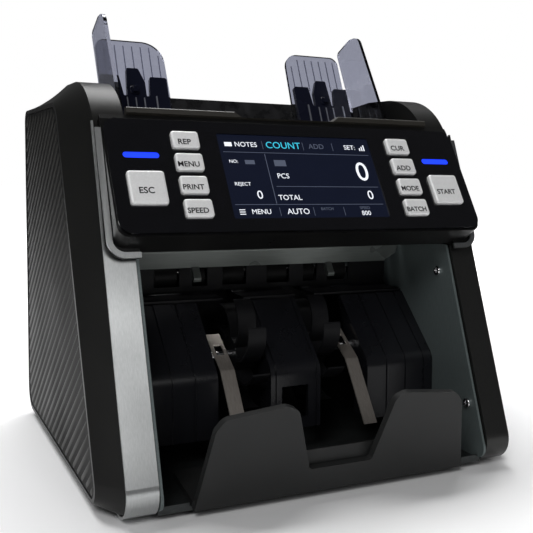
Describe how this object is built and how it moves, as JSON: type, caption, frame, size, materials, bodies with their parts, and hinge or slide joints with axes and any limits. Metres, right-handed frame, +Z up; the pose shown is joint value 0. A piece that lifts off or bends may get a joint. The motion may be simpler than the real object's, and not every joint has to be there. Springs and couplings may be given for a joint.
{
  "type": "banknote counting machine",
  "caption": "Desktop banknote counter with a leaning hopper and clear note guides, a keypad and display head, and a bay with bladed stacker wheels above a notched tray.",
  "frame": {"origin": "on the floor under the middle of the machine", "axes": "+X to the right seen from the front, -Y out of the stacker bay towards the user, +Z up"},
  "size_m": [0.248, 0.227, 0.2598],
  "materials": {
    "satin_black": "satin",
    "crown_black": "satin gloss",
    "insert_black": "fine ribs",
    "gunmetal": "satin",
    "bright_strip": "satin",
    "glass_black": "gloss",
    "housing_black": "satin",
    "display": "lit panel",
    "circuit_board": "solder mask",
    "blue_light": "lit",
    "key_silver": "satin",
    "smoke_clear": "clear",
    "carriage_black": "satin",
    "gear_white": "moulded",
    "cover_grey": "satin",
    "bay_black": "satin",
    "tray_grey": "satin",
    "wheel_rubber": "matte",
    "roller_rubber": "matte",
    "shaft_steel": "polished",
    "sheet_steel": "satin",
    "zinc_steel": "zinc plated",
    "belt_rubber": "matte",
    "foot_rubber": "matte",
    "motor_can": "drawn can",
    "sensor_black": "gloss",
    "inlet_black": "moulded"
  },
  "bodies": {
    "chassis": {"base_pan": "gunmetal", "rubber_feet": "foot_rubber", "left_side_cover": "satin_black", "side_inserts": "insert_black", "left_frame_plate": "gunmetal", "left_front_trim": "bright_strip", "bay_panel": "bay_black", "right_side_cover": "satin_black", "right_frame_plate": "gunmetal", "right_front_trim": "bright_strip", "frame_screws": "shaft_steel", "tie_rods": "zinc_steel", "console_housing": "housing_black", "console_glass": "glass_black", "lcd_module": "display", "keypad_board": "circuit_board", "status_lights": "blue_light", "console_bands": "bright_strip", "stacker_cover_left": "cover_grey", "stacker_cover_right": "cover_grey", "stacker_cover_centre": "cover_grey", "note_slides": "sheet_steel", "stacker_tray": "tray_grey", "exit_crossbar": "sheet_steel", "hopper_floor": "crown_black", "hopper_front_wall": "crown_black", "rear_deck": "satin_black", "drive_motor": "motor_can", "drive_belts": "belt_rubber", "sensor_bars": "sensor_black", "main_board": "circuit_board", "power_supply": "zinc_steel", "rear_panel": "satin_black", "power_inlet": "inlet_black"},
    "left_guide": {"left_note_guide": "smoke_clear", "left_guide_carriage": "carriage_black"},
    "right_guide": {"right_note_guide": "smoke_clear", "right_guide_carriage": "carriage_black"},
    "guide_gear": {"guide_pinion": "gear_white"},
    "pickup": {"pickup_shaft": "shaft_steel", "pickup_rollers": "roller_rubber"},
    "feed": {"feed_shaft": "shaft_steel", "feed_rollers": "roller_rubber"},
    "exit": {"exit_shaft": "shaft_steel", "exit_rollers": "roller_rubber"},
    "stacker": {"stacker_shaft": "shaft_steel", "stacker_wheels": "wheel_rubber"},
    "motor": {"motor_pulley": "shaft_steel"},
    "door": {"rear_door": "satin_black"},
    "rocker": {"power_rocker": "inlet_black"},
    "button_esc": {"key_esc": "key_silver"},
    "button_rep": {"key_rep": "key_silver"},
    "button_menu": {"key_menu": "key_silver"},
    "button_print": {"key_print": "key_silver"},
    "button_speed": {"key_speed": "key_silver"},
    "button_start": {"key_start": "key_silver"},
    "button_cur": {"key_cur": "key_silver"},
    "button_add": {"key_add": "key_silver"},
    "button_mode": {"key_mode": "key_silver"},
    "button_batch": {"key_batch": "key_silver"}
  },
  "joints": [
    {"name": "press_esc", "type": "slide", "parent": "chassis", "child": "button_esc", "axis": [0, 0.8453, -0.5344], "range_m": [0, 0.0012], "stiffness_N_per_m": 450},
    {"name": "press_rep", "type": "slide", "parent": "chassis", "child": "button_rep", "axis": [0, 0.8453, -0.5344], "range_m": [0, 0.0012], "stiffness_N_per_m": 450},
    {"name": "press_menu", "type": "slide", "parent": "chassis", "child": "button_menu", "axis": [0, 0.8453, -0.5344], "range_m": [0, 0.0012], "stiffness_N_per_m": 450},
    {"name": "press_print", "type": "slide", "parent": "chassis", "child": "button_print", "axis": [0, 0.8453, -0.5344], "range_m": [0, 0.0012], "stiffness_N_per_m": 450},
    {"name": "press_speed", "type": "slide", "parent": "chassis", "child": "button_speed", "axis": [0, 0.8453, -0.5344], "range_m": [0, 0.0012], "stiffness_N_per_m": 450},
    {"name": "press_start", "type": "slide", "parent": "chassis", "child": "button_start", "axis": [0, 0.8453, -0.5344], "range_m": [0, 0.0012], "stiffness_N_per_m": 450},
    {"name": "press_cur", "type": "slide", "parent": "chassis", "child": "button_cur", "axis": [0, 0.8453, -0.5344], "range_m": [0, 0.0012], "stiffness_N_per_m": 450},
    {"name": "press_add", "type": "slide", "parent": "chassis", "child": "button_add", "axis": [0, 0.8453, -0.5344], "range_m": [0, 0.0012], "stiffness_N_per_m": 450},
    {"name": "press_mode", "type": "slide", "parent": "chassis", "child": "button_mode", "axis": [0, 0.8453, -0.5344], "range_m": [0, 0.0012], "stiffness_N_per_m": 450},
    {"name": "press_batch", "type": "slide", "parent": "chassis", "child": "button_batch", "axis": [0, 0.8453, -0.5344], "range_m": [0, 0.0012], "stiffness_N_per_m": 450},
    {"name": "left_guide_slide", "type": "slide", "parent": "chassis", "child": "left_guide", "axis": [1, 0, 0], "range_m": [0, 0.035]},
    {"name": "right_guide_slide", "type": "slide", "parent": "chassis", "child": "right_guide", "axis": [-1, 0, 0], "range_m": [0, 0.035]},
    {"name": "guide_gear_turn", "type": "hinge", "parent": "chassis", "child": "guide_gear", "pos_m": [0, 0.0377, 0.19306], "axis": [0, 0.9063, -0.4226], "range_deg": [0, 251]},
    {"name": "motor_spin", "type": "hinge", "parent": "chassis", "child": "motor", "pos_m": [0, 0.048, 0.04], "axis": [1, 0, 0], "continuous": true},
    {"name": "feed_spin", "type": "hinge", "parent": "chassis", "child": "feed", "pos_m": [0, 0.024, 0.132], "axis": [1, 0, 0], "continuous": true},
    {"name": "pickup_spin", "type": "hinge", "parent": "chassis", "child": "pickup", "pos_m": [0, 0, 0.148], "axis": [1, 0, 0], "continuous": true},
    {"name": "exit_spin", "type": "hinge", "parent": "chassis", "child": "exit", "pos_m": [0, 0.013, 0.1035], "axis": [1, 0, 0], "continuous": true},
    {"name": "stacker_spin", "type": "hinge", "parent": "chassis", "child": "stacker", "pos_m": [0, -0.024, 0.06], "axis": [1, 0, 0], "continuous": true},
    {"name": "door_hinge", "type": "hinge", "parent": "chassis", "child": "door", "pos_m": [0, 0.11, 0.0746], "axis": [-1, 0, 0], "range_deg": [0, 75]},
    {"name": "rocker_tilt", "type": "hinge", "parent": "chassis", "child": "rocker", "pos_m": [0.022, 0.1083, 0.03], "axis": [-1, 0, 0], "range_deg": [0, 16]}
  ],
  "couplings": [
    {"joint": "right_guide_slide", "follows": "left_guide_slide", "ratio": 1},
    {"joint": "guide_gear_turn", "follows": "left_guide_slide", "rad_per_m": 125},
    {"joint": "pickup_spin", "follows": "feed_spin", "ratio": 1},
    {"joint": "exit_spin", "follows": "feed_spin", "ratio": 1},
    {"joint": "stacker_spin", "follows": "feed_spin", "ratio": 1},
    {"joint": "motor_spin", "follows": "feed_spin", "ratio": 1}
  ]
}
